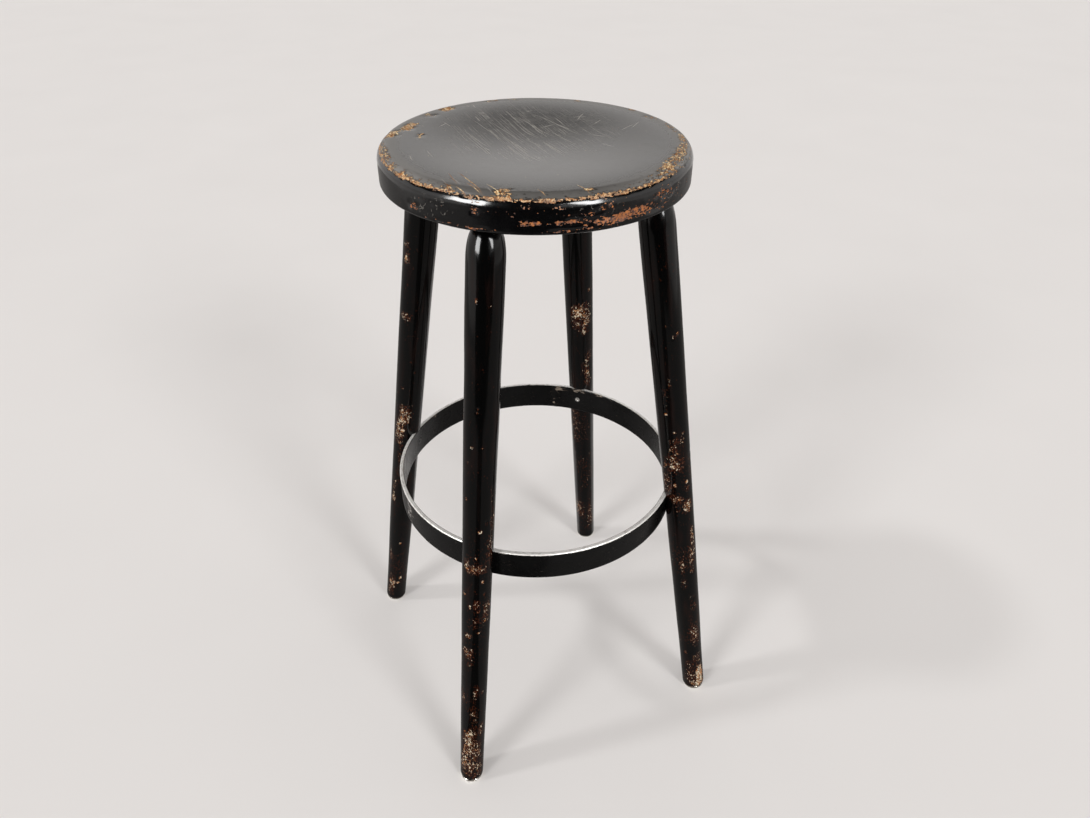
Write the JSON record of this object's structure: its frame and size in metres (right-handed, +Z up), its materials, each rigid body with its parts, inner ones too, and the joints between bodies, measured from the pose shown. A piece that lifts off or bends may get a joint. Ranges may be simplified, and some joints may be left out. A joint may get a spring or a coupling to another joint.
{
  "type": "bar stool",
  "caption": "Backless bar stool: round dished wooden seat on splayed turned legs, braced by a flat steel foot ring let into the legs.",
  "frame": {"origin": "on the floor, under the middle of the seat, at the bottom centre of the whole stool", "axes": "+Z up, through the middle of the seat; the legs stand on the diagonals between X and Y, and -Y is the front"},
  "size_m": [0.3754, 0.3754, 0.77],
  "materials": {
    "seat_paint": "black gloss paint on beech, rubbed dull on top and worn to orange wood round the rim",
    "leg_paint": "black gloss paint on beech, chipped to orange-brown wood",
    "ring_paint": "black paint on flat steel bar, worn to bright metal along the top edge",
    "screw_steel": "zinc-plated steel, dulled",
    "glide_steel": "nickel-plated pressed steel"
  },
  "bodies": {
    "root": {"seat": "seat_paint", "foot_ring": "ring_paint", "leg_front_left": "leg_paint", "ring_screw_front_left": "screw_steel", "glide_cap_front_left": "glide_steel", "glide_nail_front_left": "glide_steel", "leg_front_right": "leg_paint", "ring_screw_front_right": "screw_steel", "glide_cap_front_right": "glide_steel", "glide_nail_front_right": "glide_steel", "leg_back_right": "leg_paint", "ring_screw_back_right": "screw_steel", "glide_cap_back_right": "glide_steel", "glide_nail_back_right": "glide_steel", "leg_back_left": "leg_paint", "ring_screw_back_left": "screw_steel", "glide_cap_back_left": "glide_steel", "glide_nail_back_left": "glide_steel"}
  },
  "joints": []
}
